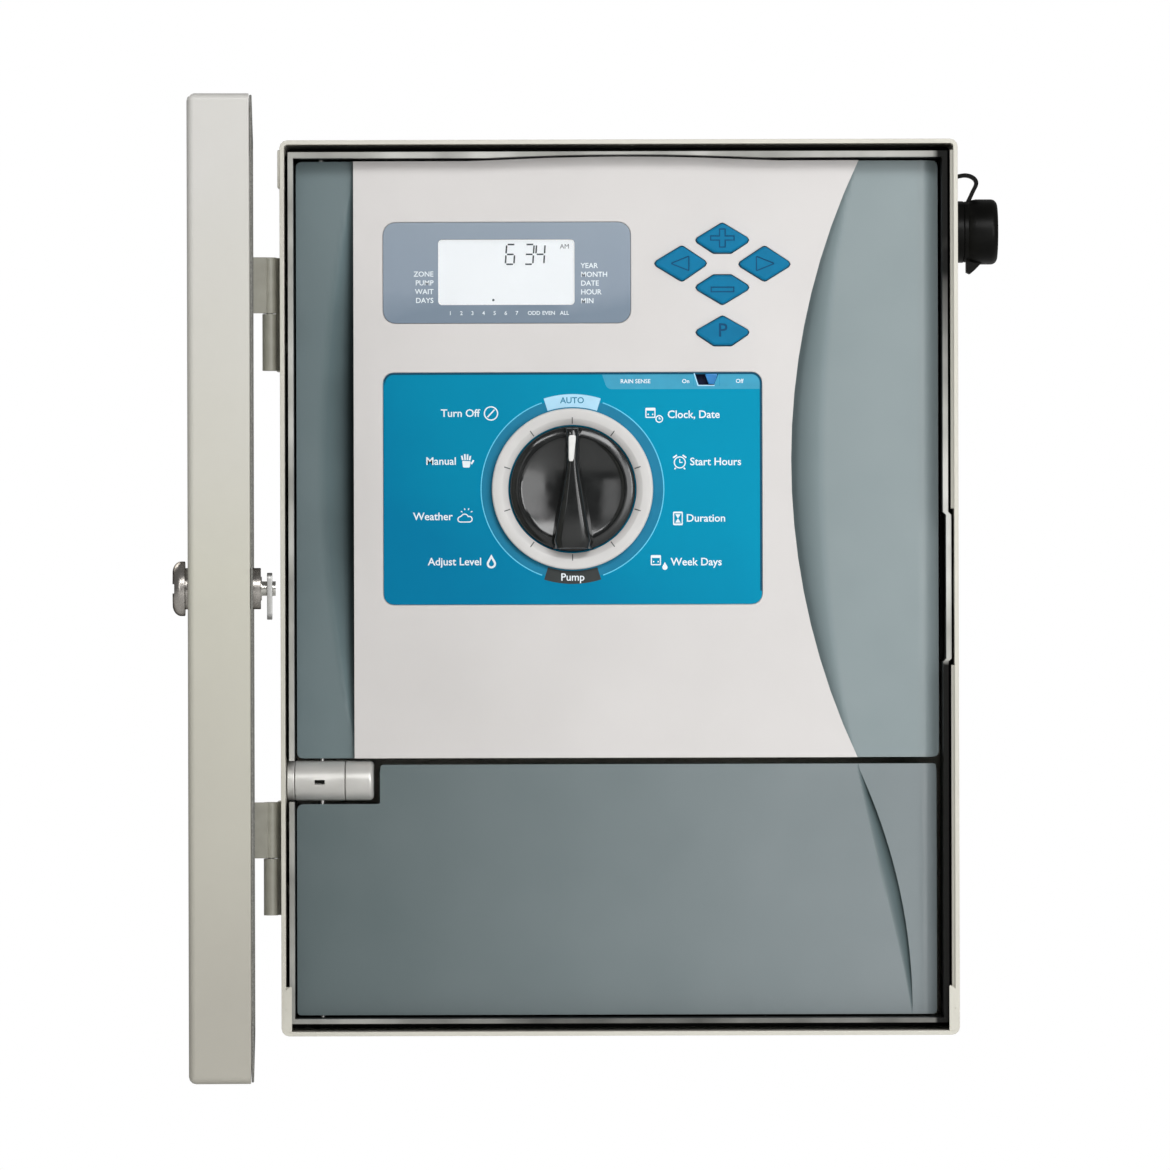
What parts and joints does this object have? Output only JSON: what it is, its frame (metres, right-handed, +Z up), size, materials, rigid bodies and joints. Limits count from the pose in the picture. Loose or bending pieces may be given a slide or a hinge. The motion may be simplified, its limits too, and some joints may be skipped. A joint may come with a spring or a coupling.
{
  "type": "irrigation controller",
  "caption": "Wall-mounted irrigation controller: hinged metal cabinet, swing-out control panel with display, keypad and rotary dial, lower wiring cover and a capped side port.",
  "frame": {"origin": "middle of the cabinet's back face, which lies on the wall", "axes": "+Y into the wall, +Z up, +X to the user's right; the front faces -Y"},
  "size_m": [0.3667, 0.4066, 0.4082],
  "materials": {
    "cabinet_paint": "beige powder coat, fine texture",
    "hinge_paint": "grey-beige paint, satin",
    "gasket_rubber": "closed-cell foam",
    "chrome": "polished",
    "steel": "zinc plated",
    "block_plastic": "silver-grey, satin",
    "panel_plastic": "grey-green, fine moulded texture",
    "bezel_plastic": "light warm grey, fine moulded texture",
    "case_plastic": "black, moulded",
    "display_film": "grey-blue printed film",
    "clear_window": "clear polycarbonate",
    "lcd": "backlit display",
    "key_rubber": "blue silicone",
    "label_film": "blue printed film",
    "ring_plastic": "light grey, satin",
    "knob_plastic": "black, polished",
    "slider_plastic": "blue",
    "circuit_board": "green solder mask",
    "battery_steel": "nickel-plated cell",
    "module_plastic": "dark grey",
    "transformer_iron": "varnished laminations",
    "port_rubber": "black"
  },
  "bodies": {
    "cabinet": {"cabinet_body": "cabinet_paint", "rim_channel": "cabinet_paint", "upper_hinge_body_leaf": "hinge_paint", "upper_hinge_pin": "steel", "lower_hinge_body_leaf": "hinge_paint", "lower_hinge_pin": "steel", "upper_hinge_rivet_1": "hinge_paint", "upper_hinge_rivet_2": "hinge_paint", "lower_hinge_rivet_1": "hinge_paint", "lower_hinge_rivet_2": "hinge_paint", "hinge_block_base": "block_plastic", "hinge_block": "block_plastic", "hinge_block_cap": "block_plastic", "frame_pivot_pin": "steel", "centre_pivot_pin": "steel", "cover_pivot_pin": "steel", "backplane_board": "circuit_board", "power_module": "module_plastic", "station_module_1": "module_plastic", "station_module_2": "module_plastic", "transformer": "transformer_iron", "junction_box": "panel_plastic", "mains_terminal_strip": "module_plastic", "ground_lug": "steel", "conduit_plug_left": "case_plastic", "conduit_plug_right": "case_plastic", "port_connector": "port_rubber", "port_nut": "block_plastic", "cap_strap": "port_rubber"},
    "door": {"door_pan": "cabinet_paint", "door_gasket": "gasket_rubber", "upper_hinge_door_leaf": "hinge_paint", "lower_hinge_door_leaf": "hinge_paint", "lock_housing": "chrome", "lock_nut": "steel"},
    "lock": {"lock_plug": "chrome", "lock_cam": "steel"},
    "panel": {"panel_frame": "panel_plastic", "facepack_bezel": "bezel_plastic", "facepack_case": "case_plastic", "display_panel": "display_film", "display_window": "clear_window", "lcd_module": "lcd", "keypad_membrane": "key_rubber", "dial_label": "label_film", "dial_ring": "ring_plastic", "rotary_switch": "case_plastic", "controller_board": "circuit_board", "backup_battery": "battery_steel"},
    "knob": {"dial_knob": "knob_plastic", "knob_shaft": "steel"},
    "plus_key": {"key_plus": "key_rubber"},
    "left_key": {"key_left": "key_rubber"},
    "right_key": {"key_right": "key_rubber"},
    "minus_key": {"key_minus": "key_rubber"},
    "program_key": {"key_program": "key_rubber"},
    "bypass": {"bypass_slider": "slider_plastic"},
    "cover": {"wiring_cover": "panel_plastic"},
    "module_lock": {"module_lock_slider": "block_plastic"},
    "cap": {"port_cap": "port_rubber"}
  },
  "joints": [
    {"name": "door_hinge", "type": "hinge", "parent": "cabinet", "child": "door", "pos_m": [-0.1587, -0.093, 0], "axis": [0, 0, -1], "range_deg": [-87.4, 92.6]},
    {"name": "lock_turn", "type": "hinge", "parent": "door", "child": "lock", "pos_m": [-0.17923, -0.39044, 0], "axis": [-0.999, -0.0454, 0], "range_deg": [0, 90]},
    {"name": "panel_swing", "type": "hinge", "parent": "cabinet", "child": "panel", "pos_m": [-0.1358, -0.081, 0], "axis": [0, 0, -1], "range_deg": [0, 90]},
    {"name": "cover_swing", "type": "hinge", "parent": "cabinet", "child": "cover", "pos_m": [-0.1358, -0.081, -0.1], "axis": [0, 0, -1], "range_deg": [0, 90]},
    {"name": "dial_turn", "type": "hinge", "parent": "panel", "child": "knob", "pos_m": [-0.0213, -0.087, 0.0449], "axis": [0, -1, 0], "continuous": true},
    {"name": "plus_key_press", "type": "slide", "parent": "panel", "child": "plus_key", "axis": [0, 1, 0], "range_m": [0, 0.0012], "stiffness_N_per_m": 500},
    {"name": "left_key_press", "type": "slide", "parent": "panel", "child": "left_key", "axis": [0, 1, 0], "range_m": [0, 0.0012], "stiffness_N_per_m": 500},
    {"name": "right_key_press", "type": "slide", "parent": "panel", "child": "right_key", "axis": [0, 1, 0], "range_m": [0, 0.0012], "stiffness_N_per_m": 500},
    {"name": "minus_key_press", "type": "slide", "parent": "panel", "child": "minus_key", "axis": [0, 1, 0], "range_m": [0, 0.0012], "stiffness_N_per_m": 500},
    {"name": "program_key_press", "type": "slide", "parent": "panel", "child": "program_key", "axis": [0, 1, 0], "range_m": [0, 0.0012], "stiffness_N_per_m": 500},
    {"name": "bypass_slide", "type": "slide", "parent": "panel", "child": "bypass", "axis": [1, 0, 0], "range_m": [-0.0045, 0]},
    {"name": "module_lock_slide", "type": "slide", "parent": "cabinet", "child": "module_lock", "axis": [1, 0, 0], "range_m": [0, 0.008]},
    {"name": "port_cap_pull", "type": "slide", "parent": "cabinet", "child": "cap", "axis": [1, 0, 0], "range_m": [0, 0.012]}
  ]
}
